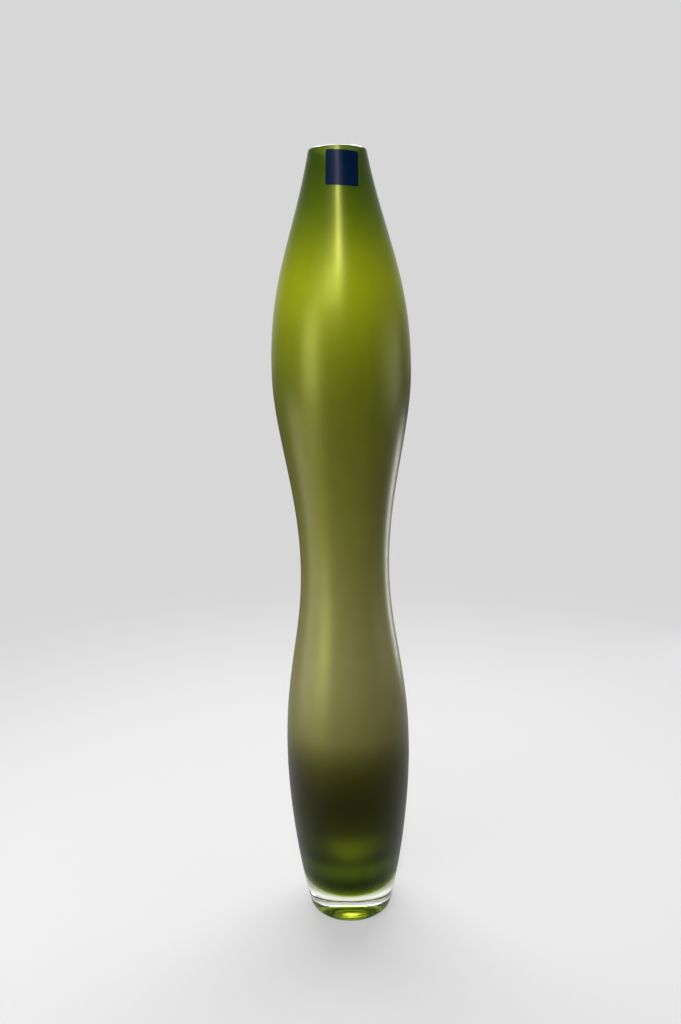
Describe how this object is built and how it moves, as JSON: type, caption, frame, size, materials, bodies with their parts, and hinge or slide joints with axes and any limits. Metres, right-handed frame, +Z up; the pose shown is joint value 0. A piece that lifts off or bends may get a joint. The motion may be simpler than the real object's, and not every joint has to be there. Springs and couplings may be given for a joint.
{
  "type": "glass vase",
  "caption": "Tall slender glass vase, waisted between shoulder and belly: satin clear glass over a green inner layer, thick clear foot, narrow open mouth, small plain label.",
  "frame": {"origin": "centre of the foot, on the surface that the vase stands on", "axes": "+Z up along the vase's axis of turning, -Y towards the front, where the label is"},
  "size_m": [0.0876, 0.0876, 0.5],
  "materials": {
    "satin_clear_glass": "satin etched outside, polished clear at the foot",
    "green_glass": "transparent green glass, smooth, deepest in the thick bottom",
    "navy_label": "glossy dark blue film, blank"
  },
  "bodies": {
    "root": {"clear_casing": "satin_clear_glass", "green_layer": "green_glass", "blank_label": "navy_label"}
  },
  "joints": []
}
